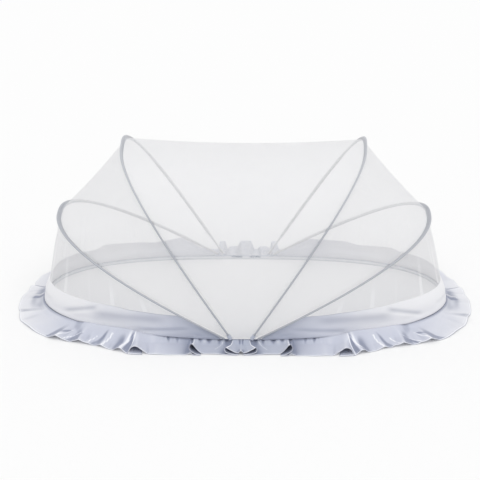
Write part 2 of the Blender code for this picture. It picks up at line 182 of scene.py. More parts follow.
def laid_sheet(name, columns, rows, place, tone=None):
    """A sheet whose corners go to place(share along, share across), with a map in metres.

    tone takes the corners' places and gives each a number, kept with the cloth for its material."""
    sheet = bmesh.new()
    bmesh.ops.create_grid(sheet, x_segments=columns, y_segments=rows, size=0.5)
    cloth_map = sheet.loops.layers.uv.new(CLOTH_MAP)
    painted_fold_light = sheet.verts.layers.float.new(PAINTED_FOLD_LIGHT)
    spots = {}
    points = np.zeros((columns + 1, rows + 1, 3))
    for corner in sheet.verts:
        spot = (round((corner.co.x + 0.5) * columns), round((corner.co.y + 0.5) * rows))
        spots[corner] = spot
        corner.co = place(spot[0] / columns, spot[1] / rows)
        points[spot] = corner.co
    steps_along = np.linalg.norm(np.diff(points, axis=0), axis=2).mean(axis=1)
    steps_across = np.linalg.norm(np.diff(points, axis=1), axis=2).mean(axis=0)
    along = np.concatenate([[0.0], np.cumsum(steps_along)])
    across = np.concatenate([[0.0], np.cumsum(steps_across)])
    for face in sheet.faces:
        for loop in face.loops:
            column, row = spots[loop.vert]
            loop[cloth_map].uv = (along[column], across[row])
    if tone:
        tones = tone(points)
        for corner, spot in spots.items():
            corner[painted_fold_light] = float(tones[spot])
    bmesh.ops.remove_doubles(sheet, verts=sheet.verts, dist=1e-6)
    return finished(name, sheet), float(along[-1]), float(across[-1])


def finished(name, shape, flat_faces=False):
    """An object from a bmesh, at the origin and riding on the net's one body."""
    mesh = bpy.data.meshes.new(name)
    shape.to_mesh(mesh)
    shape.free()
    if not flat_faces:
        mesh.shade_smooth()
    piece = bpy.data.objects.new(name, mesh)
    bpy.context.scene.collection.objects.link(piece)
    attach(piece, ROOT)
    return piece


def turned(points, away):
    """How sharply cloth bends along its length, over 0 on a ridge, and how far it faces the away directions."""
    along = np.gradient(points, axis=0)
    across = np.gradient(points, axis=1)
    facing = np.cross(across, along)
    facing /= np.maximum(np.linalg.norm(facing, axis=2, keepdims=True), 1e-9)
    bend = np.zeros(points.shape[:2])
    span = points[2:] - points[:-2]
    span /= np.maximum(np.linalg.norm(span, axis=2, keepdims=True), 1e-9)
    bend[1:-1] = ((facing[2:] - facing[:-2]) * span).sum(axis=2)
    return bend, (facing * away[:, None, :]).sum(axis=2)


def thicken(piece, thickness, side=0.0):
    """Gives a sheet its thickness: 0 is both ways, 1 is towards its faces' front."""
    wall = piece.modifiers.new("cloth thickness", "SOLIDIFY")
    wall.thickness = thickness
    wall.offset = side
    wall.use_even_offset = False


# %% [markdown]
# Materials are written as sums. A small class wraps one output of a node, so that `1 - mask` or `mask * 0.3` adds
# the Math node that does it, and a second class holds the material itself. Colours are mixed with a Mix node,
# because a Math node turns a colour grey.

# %% Writing materials as sums


class Amount:
    """One output of a node, which can be added, multiplied and compared like a number."""

    def __init__(self, finish, socket):
        self.finish = finish
        self.socket = socket

    def worked(self, operation, *others):
        return self.finish.node("ShaderNodeMath", {"operation": operation}, [self, *others])

    def __add__(self, other):
        return self.worked("ADD", other)

    __radd__ = __add__

    def __mul__(self, other):
        return self.worked("MULTIPLY", other)

    __rmul__ = __mul__

    def __sub__(self, other):
        return self.worked("SUBTRACT", other)

    def __rsub__(self, other):
        return self.finish.node("ShaderNodeMath", {"operation": "SUBTRACT"}, [other, self])

    def __truediv__(self, other):
        return self.worked("DIVIDE", other)

    def __gt__(self, other):
        return self.worked("GREATER_THAN", other)

    def __lt__(self, other):
        return self.worked("LESS_THAN", other)

    def __mod__(self, other):
        return self.worked("FLOORED_MODULO", other)

    def __abs__(self):
        return self.worked("ABSOLUTE")

    def larger(self, other):
        return self.worked("MAXIMUM", other)

    def sine(self, repeat):
        """A wave from -1 to 1 that repeats over that distance."""
        return (self * (math.tau / repeat)).worked("SINE")

    def step(self, low, high):
        """0 below low and 1 above high, with an even S between."""
        settings = {"interpolation_type": "SMOOTHSTEP"}
        return self.finish.node("ShaderNodeMapRange", settings, {"Value": self, "From Min": low, "From Max": high})


class Finish:
    """A material: its nodes, and the values of its shader that are the same all over."""

    def __init__(self, name, **shader_values):
        self.material = bpy.data.materials.new(name)
        self.material.use_nodes = True
        self.tree = self.material.node_tree
        self.shader = self.tree.nodes["Principled BSDF"]
        for socket, value in shader_values.items():
            self.shader.inputs[socket.replace("_", " ").title().replace("Ior", "IOR")].default_value = value

    def node(self, kind, settings=None, values=(), output=0):
        """A node of that kind, with its settings made first and then its sockets filled or linked."""
        made = self.tree.nodes.new(kind)
        for setting, value in (settings or {}).items():
            setattr(made, setting, value)
        pairs = values.items() if isinstance(values, dict) else enumerate(values)
        for socket, value in pairs:
            if isinstance(value, Amount):
                self.tree.links.new(value.socket, made.inputs[socket])
            else:
                made.inputs[socket].default_value = value
        return Amount(self, made.outputs[output])

    def feed(self, socket, amount):
        self.tree.links.new(amount.socket, self.shader.inputs[socket])

    def cloth_place(self):
        """Distances along and across the cloth, in metres."""
        map_node = self.node("ShaderNodeUVMap", {"uv_map": CLOTH_MAP})
        parts = self.node("ShaderNodeSeparateXYZ", values=[map_node])
        return parts, Amount(self, parts.socket.node.outputs[1])

    def object_place(self):
        """Where a point is on the net: x, y and z in metres."""
        parts = self.node("ShaderNodeSeparateXYZ", values=[self.object_point()])
        return parts, Amount(self, parts.socket.node.outputs[1]), Amount(self, parts.socket.node.outputs[2])

    def object_point(self):
        return self.node("ShaderNodeTexCoord", output=3)

    def painted_fold_light(self):
        """The number kept with the cloth: over 0 on ridges, under 0 in folds that the light doesn't reach."""
        return self.node("ShaderNodeAttribute", {"attribute_name": PAINTED_FOLD_LIGHT}, output=2)

    def noise(self, scale, point=None, detail=2.0, roughness=0.5):
        values = {"Vector": point or self.object_point(), "Scale": scale, "Detail": detail, "Roughness": roughness}
        return self.node("ShaderNodeTexNoise", {}, values)

    def point(self, x, y, z=0.0):
        return self.node("ShaderNodeCombineXYZ", values=[x, y, z])

    def mixed(self, share, first, second):
        """A colour between two, each an (r, g, b) triple or another mix."""
        colours = [value if isinstance(value, Amount) else (*value, 1.0) for value in (first, second)]
        made = self.node("ShaderNodeMix", {"data_type": "RGBA"}, output=2)
        inputs = made.socket.node.inputs
        if isinstance(share, Amount):
            self.tree.links.new(share.socket, inputs[0])
        else:
            inputs[0].default_value = share
        for socket, value in zip((inputs[6], inputs[7]), colours):
            if isinstance(value, Amount):
                self.tree.links.new(value.socket, socket)
            else:
                socket.default_value = value
        return made

    def raised(self, height, distance):
        """Feeds the shader a bump from a height of 0 to 1 that stands for that many metres."""
        bump = self.node("ShaderNodeBump", {}, {"Height": height, "Distance": distance, "Strength": 1.0})
        self.feed("Normal", bump)


def dressed(piece, finish):
    """Gives a piece its material, in its one slot."""
    piece.data.materials.clear()
    piece.data.materials.append(finish.material)
    return piece


# %% [markdown]
# The net is a knitted mesh of fine white thread with six-sided holes under two millimetres wide. From a step away
# it is only a veil, but close up the threads show. The holes are cut by the material's alpha: the distance from
# the middle of a six-sided cell is worked out from the map in metres, and what lies near the edge of a cell is
# thread. The cells are pulled a little out of line, as in a real knit. Real holes would need millions of faces.

# %% Net finish
NET_PITCH = 0.0017
NET_THREAD = 0.139
NET_COLOUR = (0.845, 0.845, 0.86)
NET_FOLD_HIGHLIGHT = (0.93, 0.93, 0.94)
NET_PULL_SCALE, NET_PULL = 220.0, 0.0024
ROOT_THREE = math.sqrt(3)


def six_sided(finish, along, across):
    """How far a point is from the middle of its six-sided cell: 0.5 at the cell's edge."""
    first = ((along % 1.0) - 0.5, (across % ROOT_THREE) - ROOT_THREE / 2)
    second = (((along + 0.5) % 1.0) - 0.5, ((across + ROOT_THREE / 2) % ROOT_THREE) - ROOT_THREE / 2)
    squares = [x * x + y * y for x, y in (first, second)]
    nearer = squares[0] < squares[1]
    x = abs(nearer * first[0] + (1 - nearer) * second[0])
    y = abs(nearer * first[1] + (1 - nearer) * second[1])
    return x.larger(x * 0.5 + y * (ROOT_THREE / 2))


def net_finish(name, thread=NET_THREAD, colour=NET_COLOUR, slack=False):
    finish = Finish(name, roughness=0.75, specular_ior_level=0.25)
    along, across = finish.cloth_place()
    pulled = (finish.noise(NET_PULL_SCALE) - 0.5) * NET_PULL
    from_middle = six_sided(finish, (along + pulled) / NET_PITCH, (across - pulled) / NET_PITCH)
    uneven = finish.noise(9.0) * 0.02
    shown = finish.mixed(finish.noise(35.0), colour, [value * 0.97 for value in colour])
    if slack:
        # Along these slack folds the thread is denser, and a painted highlight makes it lighter.
        fold = (along.sine(0.083) + along.sine(0.031) * 0.35).step(0.80, 1.15)
        fold = fold * (1 - across.step(0.03, 0.12))
        uneven = uneven + fold * 0.05
        shown = finish.mixed(fold, shown, NET_FOLD_HIGHLIGHT)
    finish.feed("Alpha", from_middle > (0.5 + 0.01 - thread) - uneven)
    finish.feed("Base Color", shown)
    return finish


net_look = net_finish("sheer_net")
slack_net_look = net_finish("slack_net", slack=True)
print("net holes", round(NET_PITCH * (1 - 2 * NET_THREAD) * 1000, 2), "mm wide")

# %% [markdown]
# The band and the skirt are thin plain-woven cloth, a greyed blue. The weave is two waves at right angles on the
# map in metres, with slubs where a thread is thicker. Where the ends catch the light the cloth is painted nearly
# white, and beside the middle painted shade makes it deepest, which follows the distance from the middle of the
# net. Behind, the band is painted paler as well.

# %% Cloth finish
WEAVE_PITCH = 0.0009
CLOTH_PAINTED_SHADE = (0.430, 0.463, 0.560)
CLOTH_COLOUR = (0.585, 0.608, 0.700)
CLOTH_PAINTED_LIGHT = (0.815, 0.815, 0.838)
PAINTED_SHADE_BLUE = (0.190, 0.215, 0.310)
RIDGE_PAINTED_HIGHLIGHT = (0.900, 0.910, 0.950)
HEM_HIGHLIGHT_AND_THREAD = (0.900, 0.910, 0.950)
HEM_EDGE = 0.0034
HEM_DEPTH = 0.009
HEM_RIM = 0.0006
BAND_PAINTED_LIGHT = (0.855, 0.855, 0.872)


def woven(finish, along, across, pitch):
    """A plain weave's height, from 0 to 1, with slubs."""
    weave = along.sine(2 * pitch) * across.sine(2 * pitch) * 0.5 + 0.5
    slubs = finish.noise(1.0, finish.point(along * 60, across * 900), detail=1.0)
    slubs = slubs + finish.noise(1.0, finish.point(along * 900, across * 60), detail=1.0)
    return weave * 0.7 + slubs * 0.15


def cloth_finish(name, pale_from, pale_to, pale=CLOTH_PAINTED_LIGHT, behind_pale=0.0, hem_at=None):
    finish = Finish(name, roughness=0.82, specular_ior_level=0.3, sheen_weight=0.25, sheen_roughness=0.5)
    along, across = finish.cloth_place()
    x, y, z = finish.object_place()
    weave = woven(finish, along, across, WEAVE_PITCH)
    soft_change = finish.noise(8.0) - 0.5
    from_middle = abs(x) + soft_change * 0.16
    # Painted shade deepens the cloth beside the middle, and painted light makes it pale towards the ends.
    colour = finish.mixed(from_middle.step(0.00, 0.24), CLOTH_PAINTED_SHADE, CLOTH_COLOUR)
    colour = finish.mixed(from_middle.step(pale_from, pale_to), colour, pale)
    colour = finish.mixed(weave * 0.14, colour, [value * 0.72 for value in CLOTH_COLOUR])
    # Painted light: the band is paler behind.
    colour = finish.mixed(y.step(-0.06, 0.06) * behind_pale, colour, CLOTH_PAINTED_LIGHT)
    # Painted shade in the folds and a painted highlight on the ridges, from the number kept with the cloth.
    tone = finish.painted_fold_light()
    colour = finish.mixed(tone.step(0.0, -1.0) * 0.8, colour, PAINTED_SHADE_BLUE)
    colour = finish.mixed(tone.step(0.0, 1.0), colour, RIDGE_PAINTED_HIGHLIGHT)
    # A painted highlight on the hem's turned edge, a pale stitched line of thread, and a painted shadow at the hem's
    # rim.
    if hem_at:
        colour = finish.mixed((across > hem_at - HEM_EDGE) * 0.85, colour, HEM_HIGHLIGHT_AND_THREAD)
        stitched = abs(across - (hem_at - HEM_DEPTH)) < 0.0005
        stitched = stitched * (along.sine(0.0032) > -0.3)
        colour = finish.mixed(stitched * 0.6, colour, HEM_HIGHLIGHT_AND_THREAD)
        colour = finish.mixed((across > hem_at - HEM_RIM) * 0.7, colour, PAINTED_SHADE_BLUE)
    finish.feed("Base Color", colour)
    finish.raised(weave, 0.00015)
    return finish


band_look = cloth_finish("band_cloth", 0.10, 0.44, pale=BAND_PAINTED_LIGHT, behind_pale=0.46)

# %% [markdown]
# The rib bindings, the base tape and the pockets are narrow woven tape with a fine rib across it. The same short
# function makes all three, with its own colour for each. Shade is painted on two of them: on the bindings, over the
# outer half of the bead on the front legs and across the bends, a little lighter higher up the arch, and on the base
# tape all along its front, along its lower and upper edges behind, and under the skirt's standing folds behind.

# %% Tape finishes
TAPE_RIB = 0.0011
SHADE_BELOW = (0.13, 0.16, 0.25)
REAR_BINDING = (0.52, 0.525, 0.545)


def tape_finish(name, colour, dark_share=0.25, front_colour=None, bead_shade_colour=None, edges_dark=False):
    finish = Finish(name, roughness=0.7, specular_ior_level=0.3, sheen_weight=0.15, sheen_roughness=0.5)
    along, across = finish.cloth_place()
    rib = along.sine(TAPE_RIB) * 0.5 + 0.5
    threads = across.sine(0.0016) * 0.5 + 0.5
    weave = rib * 0.65 + threads * 0.35
    colour_change = finish.noise(14.0)
    deep = [value * 0.80 for value in colour]
    mixed = finish.mixed(weave * dark_share + colour_change * 0.2, colour, deep)
    x, y, z = finish.object_place()
    # The front has its own colour; on the base tape it is dark, painted shade in the seam in front.
    if front_colour:
        mixed = finish.mixed(y.step(-0.12, 0.0), front_colour, mixed)
    if edges_dark:
        # Painted shadow along the tape's lower and upper edges behind, and in the gaps under the skirt's standing
        # folds there.
        edge = (z < 0.0022).larger(z > 0.0084) * y.step(0.02, 0.1)
        mixed = finish.mixed(edge * 0.30, mixed, SHADE_BELOW)
        gap = abs(abs(x - 0.002) - 0.0275).step(0.020, 0.012) * (z > 0.0056) * (y > 0.1)
        mixed = finish.mixed(gap, mixed, SHADE_BELOW)
    if bead_shade_colour:
        # Painted shade over the outer half of the binding's bead on the front legs and across the bends, a little
        # lighter higher up the arch.
        over_wire = across.step(0.0066, 0.0086) * (1 - across.step(0.0230, 0.0250)) * (1 - y.step(-0.04, 0.08))
        bend = along.step(0.30, 0.46) * (1 - along.step(0.70, 0.86))
        wire = finish.mixed(z.step(0.30, 0.38), bead_shade_colour, [value + 0.075 for value in bead_shade_colour])
        mixed = finish.mixed(over_wire.larger(bend), mixed, wire)
        mixed = finish.mixed(y.step(0.02, 0.14), mixed, REAR_BINDING)
    finish.feed("Base Color", mixed)
    finish.raised(weave, 0.0002)
    return finish


binding_look = tape_finish("binding_tape", (0.66, 0.67, 0.70), bead_shade_colour=(0.44, 0.455, 0.495))
base_tape_look = tape_finish("base_tape_weave", (0.74, 0.76, 0.80), front_colour=(0.16, 0.18, 0.26), edges_dark=True)
pocket_look = tape_finish("pocket_tape", (0.86, 0.87, 0.90), dark_share=0.12, front_colour=(0.52, 0.55, 0.63))

# %% [markdown]
# A rib is a wire bent into an arch that leans away from the middle of the net. The four arches share one formula:
# a rounded half oval in a leaning plane, from a front foot to a rear foot. It gives the middle of the binding and
# two directions there: out of the arch, and sideways, away from the other side of the net.

# %% The ribs' line
RIB_COLUMNS = ("name", "tilt", "reach", "roundness", "nod", "front_foot", "rear_foot")
RIB_ROWS = (
    ("tall", 32.1, 0.522, 2.98, -0.052, 0.021, 0.063),
    ("low", 60.8, 0.510, 2.54, 0.015, 0.028, 0.070),
)
RIBS = {row[0]: dict(zip(RIB_COLUMNS, row)) for row in RIB_ROWS}
FOOT_OUTSIDE_TAPE = 0.004
PIVOT_HEIGHT = 0.006
RIB_FOOT_HEIGHT = 0.0135
SEWN_INWARD, SEWN_SIDEWAYS = 0.004, 0.0028


def arch(rib, side, from_height, count):
    """Stations along a rib, each a (middle, outward, sideways) triple."""
    front = Vector((FRONT_MIDDLE + side * rib["front_foot"], -HALF_WIDTH - FOOT_OUTSIDE_TAPE, PIVOT_HEIGHT))
    rear = Vector((REAR_MIDDLE + side * rib["rear_foot"], HALF_WIDTH + FOOT_OUTSIDE_TAPE, PIVOT_HEIGHT))
    half = (rear - front).length / 2
    back = (rear - front).normalized()
    tilt = math.radians(rib["tilt"])
    up = Vector((side * math.sin(tilt), 0.0, math.cos(tilt)))
    up = (up - up.dot(back) * back).normalized()
    turn = np.linspace(0.0, math.pi, FINE_POINTS // 2 + 1)
    power = 2 / rib["roundness"]
    rise = rib["reach"] * np.abs(np.sin(turn)) ** power
    run = -half * np.sign(np.cos(turn)) * np.abs(np.cos(turn)) ** power + rib["nod"] * rise
    middle = BASE_CENTRE + (front + rear) / 2
    points = np.array(middle) + np.outer(run, np.array(back)) + np.outer(rise, np.array(up))
    points = points[points[:, 2] >= from_height]
    along = np.concatenate([[0.0], np.cumsum(np.linalg.norm(np.diff(points, axis=0), axis=1))])
    at = np.linspace(0.0, along[-1], count)
    middles = np.stack([np.interp(at, along, points[:, axis]) for axis in range(3)], axis=1)
    forward = np.gradient(middles, axis=0)
    sideways = back.cross(up).normalized()
    if sideways.x * side < 0:
        sideways.negate()
    stations = []
    for middle, ahead in zip(middles, forward):
        outward = Vector(ahead).cross(sideways).normalized() * -side
        stations.append((Vector(middle), outward, sideways))
    return stations


# %% [markdown]
# The binding is a strip of tape folded round the wire and sewn shut beside it, so it stands out of the arch like a
# fin: a round bead where the wire runs, then two layers pressed flat. One section is carried along the arch. A
# curve with a bevel object could do it too, but it would turn the fin round where the arch bends.

# %% Rib bindings
BINDING_STATIONS = 180
WIRE_AT, WIRE_ROUND = 0.0032, 0.0025
FIN_OUT, FIN_IN = 0.0068, -0.0068
FIN_HALF_THICKNESS = 0.0011
LEG_WIDTH, BEND_AT, BEND_REACH, REAR_THICKER = 0.60, 0.48, 0.42, 1.75


def binding_section():
    """The (outward, sideways) corners of the binding: two flat layers with a bead over the wire."""
    reaches = [FIN_IN, -0.0045, -0.0020, 0.0002, 0.0016, 0.0032, 0.0048, 0.0060, FIN_OUT]
    upper = []
    for reach in reaches:
        bead = max(1 - ((reach - WIRE_AT) / (WIRE_ROUND * 1.25)) ** 2, 0.0) ** 0.5 * WIRE_ROUND
        flat = FIN_HALF_THICKNESS * (0.55 if reach in (FIN_IN, FIN_OUT) else 1.0)
        upper.append((reach, max(bead, flat)))
    return upper + [(reach, -across) for reach, across in reversed(upper)]


def carried(name, stations, section, shaped=None):
    """A closed section of (outward, sideways) corners carried along an arch, with its ends capped."""

    def place(share_along, share_around):
        middle, outward, sideways = stations[round(share_along * (len(stations) - 1))]
        out, across = section[round(share_around * len(section)) % len(section)]
        if shaped:
            out *= shaped(share_along)[0]
            across *= shaped(share_along)[1]
        return middle + out * outward + across * sideways

    piece, *_ = laid_sheet(name, len(stations) - 1, len(section), place)
    tube = bmesh.new()
    tube.from_mesh(piece.data)
    bmesh.ops.holes_fill(tube, edges=tube.edges, sides=0)
    bmesh.ops.recalc_face_normals(tube, faces=tube.faces)
    tube.to_mesh(piece.data)
    tube.free()
    piece.data.set_sharp_from_angle(angle=math.radians(60))
    return piece


def leg_width(share_along):
    """The binding is drawn narrower down the front legs, and lies flatter and thicker down the rear ones."""
    width = LEG_WIDTH + (1 - LEG_WIDTH) * hump(min(share_along - BEND_AT, 0.0) / BEND_REACH)
    behind = smooth((share_along - 0.62) / 0.14) * (1 - smooth((share_along - 0.93) / 0.04))
    return width, 1 + (REAR_THICKER - 1) * behind


for side in (-1, 1):
    for name in RIBS:
        node = f"rib_{name}_{side_name(side)}"
        stations = arch(RIBS[name], side, RIB_FOOT_HEIGHT, BINDING_STATIONS)
        binding = carried(f"binding_{name}_{side_name(side)}", stations, binding_section(), leg_width)
        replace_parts(dressed(binding, binding_look), node)
        print(binding.name, len(binding.data.polygons), "faces")

# %% [markdown]
# Each net panel is sewn between two arches, so it is laid between two lines: every point is a mix of the two, drawn
# in a little where the panel is wide, as cloth under light tension is. The panel over the top hangs in a shallow
# saddle between the tall ribs.

# %% Upper net panels
NET_FOOT_HEIGHT, SHOULDER_FOOT_HEIGHT = 0.0103, 0.0104
RIDGE_SAG, SHOULDER_SAG = 0.012, 0.004


def sewn_line(rib, side, face, from_height, count):
    """Where a panel is sewn to a rib: on its outer face, 1, or on its inner face, -1."""
    return [
        (middle - SEWN_INWARD * outward + face * SEWN_SIDEWAYS * sideways, outward)
        for middle, outward, sideways in arch(rib, side, from_height, count)
    ]


def between(name, first, second, columns, rows, sag):
    """A net panel from one sewn line to another."""
    widest = max((b[0] - a[0]).length for a, b in zip(first, second))

    def place(share_along, share_across):
        column = round(share_along * columns)
        (start, start_out), (end, end_out) = first[column], second[column]
        inward = -(start_out + end_out).normalized()
        width = (end - start).length / widest
        return start.lerp(end, share_across) + inward * sag * width * 4 * share_across * (1 - share_across)

    piece, *_ = laid_sheet(name, columns, rows, place)
    return piece


def top_net(columns=150, rows=36):
    left = sewn_line(RIBS["tall"], -1, -1, NET_FOOT_HEIGHT, columns + 1)
    right = sewn_line(RIBS["tall"], 1, -1, NET_FOOT_HEIGHT, columns + 1)
    piece = between("top_panel", left, right, columns, rows, RIDGE_SAG)
    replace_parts(dressed(piece, net_look), "net_top")
    return piece


def shoulder_net(side, columns=150, rows=24):
    tall = sewn_line(RIBS["tall"], side, 1, SHOULDER_FOOT_HEIGHT, columns + 1)
    low = sewn_line(RIBS["low"], side, -1, SHOULDER_FOOT_HEIGHT, columns + 1)
    word = side_name(side)
    piece = between(f"shoulder_panel_{word}", tall, low, columns, rows, SHOULDER_SAG)
    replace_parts(dressed(piece, net_look), f"net_shoulder_{word}")
    return piece


top_net()
for side in (-1, 1):
    shoulder_net(side)
print("three upper panels")

# %% [markdown]
# The band is a low wall of cloth round each end of the base. It is sewn to the base tape below and to the net above,
# and near the front and the rear it dips under the low rib. Its top edge is uneven, so its height is a table.

# %% The band's line
BAND_ROWS = (
    (0.00, 0.070, 0.070, 0.000),
    (0.20, 0.070, 0.070, -0.002),
    (0.28, 0.070, 0.071, 0.003),
    (0.34, 0.073, 0.071, 0.006),
    (0.44, 0.072, 0.074, 0.009),
    (0.55, 0.070, 0.071, 0.013),
    (0.68, 0.070, 0.069, 0.016),
    (0.80, 0.068, 0.066, 0.014),
    (0.92, 0.062, 0.062, 0.011),
    (0.95, 0.071, 0.068, 0.010),
    (1.05, 0.066, 0.062, 0.009),
    (1.10, 0.062, 0.070, 0.008),
    (1.20, 0.072, 0.068, 0.002),
    (1.38, 0.072, 0.070, 0.000),
)
BAND_HEIGHT_COLUMN = {-1: 1, 1: 2}
BAND_LEAN_COLUMN = 3
BAND_FRONT_START = 0.052
BAND_REAR_START = {"left": 0.100, "right": 0.088}
BAND_BULGE, BAND_BULGE_HEIGHT = 0.006, 0.050
BAND_RIB_CLEARANCE, BAND_REAR_CLEARANCE, BAND_RIB_REACHED = 0.0062, 0.0034, 0.062

# %% [markdown]
# The skirt is gathered where it is sewn on, with small dips beside the middle, and shade is painted along the seam
# as a dark line. Further out the skirt leaves the wall in one soft curve, and the seam doesn't show.

# %% The seam between the wall and the skirt
SEAM_COLUMNS = ("along", "height", "drop", "gap", "shade")
SEAM_ROWS = (
    (0.000, 0.0092, 0.020, 0.0010, 0.75),
    (0.115, 0.0092, 0.020, 0.0010, 0.90),
    (0.150, 0.0092, 0.020, 0.0010, 0.85),
    (0.196, 0.0092, 0.020, 0.0008, 0.85),
    (0.206, 0.0096, 0.022, 0.0004, 0.05),
    (0.235, 0.0120, 0.036, -0.0014, 0.00),
    (0.300, 0.0200, 0.060, -0.0020, 0.00),
    (0.400, 0.0170, 0.054, -0.0018, 0.00),
    (0.450, 0.0100, 0.022, 0.0008, 0.60),
    (0.560, 0.0092, 0.018, 0.0020, 0.95),
    (0.800, 0.0092, 0.020, 0.0010, 0.95),
    (1.380, 0.0092, 0.020, 0.0010, 0.95),
)
GATHER_COLUMNS = ("along", "half_width", "depth")
GATHER_ROWS = (
    (0.004, 0.004, 0.0024),
    (0.036, 0.009, 0.0044),
    (0.055, 0.006, 0.0030),
    (0.082, 0.010, 0.0042),
    (0.105, 0.008, 0.0030),
    (0.125, 0.007, 0.0046),
    (0.164, 0.005, 0.0016),
    (0.187, 0.006, 0.0026),
)
SEAM_OUTWARD = TAPE_THICKNESS / 2 + 0.0010


def seam(along, column):
    return from_rows(SEAM_ROWS, SEAM_COLUMNS.index(column), abs(along))


def gathered(along):
    """How far the skirt's sewn edge dips there, where its gathers are drawn tight."""
    return sum(depth * hump((abs(along) - at) / half_width) for at, half_width, depth in GATHER_ROWS)


def low_rib_height(side):
    """Height of the low rib's middle by distance along the base, for the front half and the rear half."""
    stations = arch(RIBS["low"], side, PIVOT_HEIGHT, 800)
    halves = []
    for part in (stations[:400], stations[400:]):
        pairs = sorted((side * middle.x, middle.z) for middle, _, _ in part)
        halves.append(([x for x, _ in pairs], [z for _, z in pairs]))
    return halves


def band_edge(side, columns):
    """Stations of the band: distance along the base, and the point on its top edge."""
    halves = low_rib_height(side)
    last = HALF_ROUND - BAND_REAR_START[side_name(side)]
    stations = []
    for along in np.linspace(BAND_FRONT_START, last, columns + 1):
        own = from_rows(BAND_ROWS, BAND_HEIGHT_COLUMN[side], along)
        in_front = along < OVAL_LENGTH / 4
        x, height = halves[0 if in_front else 1]
        under = float(np.interp(side * on_oval(side * along).x, x, height))
        under -= BAND_RIB_CLEARANCE if in_front else BAND_REAR_CLEARANCE
        lean = from_rows(BAND_ROWS, BAND_LEAN_COLUMN, along)
        stations.append((along, on_oval(side * along, -lean, min(own, under))))
    return stations


# %% [markdown]
# The wall bulges a little outward below its top and has a few soft creases where the cloth is slack. Each crease is
# a line across the wall, drawn in a few millimetres, with shade painted along it so it is a little darker than the
# rest.

# %% Cloth band
BAND_COLUMNS, BAND_CELLS = 300, 26
CLOTH_THICKNESS = 0.0007
TOP_EDGE_SHADE = 0.5
CREASE_COLUMNS = ("from_along", "from_height", "to_along", "to_height", "half_width", "depth", "dark")
CREASE_ROWS = (
    (0.500, 0.026, 0.385, 0.062, 0.011, 0.0040, 0.40),
    (0.405, 0.042, 0.190, 0.056, 0.021, 0.0036, 0.44),
    (0.275, 0.018, 0.125, 0.036, 0.010, 0.0030, 0.17),
    (0.118, 0.022, 0.098, 0.018, 0.006, 0.0016, 0.20),
    (0.420, 0.026, 0.220, 0.026, 0.020, 0.0000, 0.20),
    (0.640, 0.030, 0.560, 0.034, 0.010, 0.0016, 0.06),
    (0.900, 0.024, 0.780, 0.036, 0.012, 0.0016, 0.08),
    (1.150, 0.030, 1.000, 0.024, 0.012, 0.0020, 0.10),
    (1.260, 0.026, 1.190, 0.038, 0.010, 0.0020, 0.10),
)


def crease_share(crease, along, height):
    """1 on the crease's line and 0 beyond its half width, fading out at its ends."""
    from_along, from_height, to_along, to_height, half_width = crease[:5]
    share = (along - from_along) / (to_along - from_along)
    line = from_height + (to_height - from_height) * min(max(share, 0.0), 1.0)
    return hump((height - line) / half_width) * smooth(share / 0.3 + 0.4) * smooth((1 - share) / 0.3 + 0.4)


def cloth_band(side):
    edge = band_edge(side, BAND_COLUMNS)
    word = side_name(side)

    def wall_place(share_along, share_up):
        along, top = edge[round(share_along * BAND_COLUMNS)]
        foot = seam(along, "height") + seam(along, "gap")
        return along, top, foot, foot + (top.z - foot) * share_up

    def place(share_along, share_up):
        along, top, foot, height = wall_place(share_along, share_up)
        room = smooth((top.z - foot) / BAND_BULGE_HEIGHT)
        bulge = BAND_BULGE * math.sin(math.pi * share_up) * room
        lean = from_rows(BAND_ROWS, BAND_LEAN_COLUMN, along) * share_up
        creased = sum(crease[5] * crease_share(crease, along, height) for crease in CREASE_ROWS)
        at_foot = (SEAM_OUTWARD + 0.0002) * (1 - smooth((height - foot) / 0.016))
        return on_oval(side * along, bulge - lean - creased * room + at_foot, height)

    def tone(points):
        tones = np.zeros(points.shape[:2])
        for column in range(points.shape[0]):
            for row in range(points.shape[1]):
                along, top, foot, height = wall_place(column / BAND_COLUMNS, row / BAND_CELLS)
                # Painted shade in the creases, and along part of the top edge.
                tones[column, row] = -sum(crease[6] * crease_share(crease, along, height) for crease in CREASE_ROWS)
                if row == BAND_CELLS:
                    tones[column, row] -= TOP_EDGE_SHADE * hump((along - 0.28) / 0.14)
        return tones

    piece, *_ = laid_sheet(f"end_band_{word}", BAND_COLUMNS, BAND_CELLS, place, tone)
    thicken(piece, CLOTH_THICKNESS)
    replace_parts(dressed(piece, band_look), f"band_{word}")
    return piece


for side in (-1, 1):
    print(cloth_band(side).name)

# %% [markdown]
# The end panels close the net from the low ribs down to the band. They are a little too wide for their place, so
# they stand in a few soft upright folds.

# %% End net panels
END_NET_RIB_HEIGHT = 0.086
END_NET_GAP = 0.0024
END_FOLD_DEPTH, END_FOLDS = 0.0030, 9
END_CELLS = 22


def end_net(side):
    edge = [top for _, top in band_edge(side, BAND_COLUMNS)]
    reached = [number for number, top in enumerate(edge) if top.z > BAND_RIB_REACHED]
    foot = edge[reached[0] : reached[-1] + 1]
    sewn = sewn_line(RIBS["low"], side, 1, END_NET_RIB_HEIGHT, 800)
    word = side_name(side)
    columns = len(foot) - 1

    def place(share_along, share_up):
        column = round(share_along * columns)
        top, outward = sewn[round(share_along * (len(sewn) - 1))]
        low = foot[column] + Vector((0.0, 0.0, END_NET_GAP * 0.3))
        folds = math.sin(math.pi * END_FOLDS * share_along) * math.sin(math.pi * share_along)
        flat_out = Vector((outward.x, outward.y, 0.0))
        return low.lerp(top, share_up) + flat_out * END_FOLD_DEPTH * folds * math.sin(math.pi * share_up)

    piece, *_ = laid_sheet(f"end_panel_{word}", columns, END_CELLS, place)
    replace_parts(dressed(piece, slack_net_look), f"net_end_{word}")
    return piece


for side in (-1, 1):
    print(end_net(side).name)

# %% [markdown]
# The base tape is the flat ring on edge that everything is sewn into.

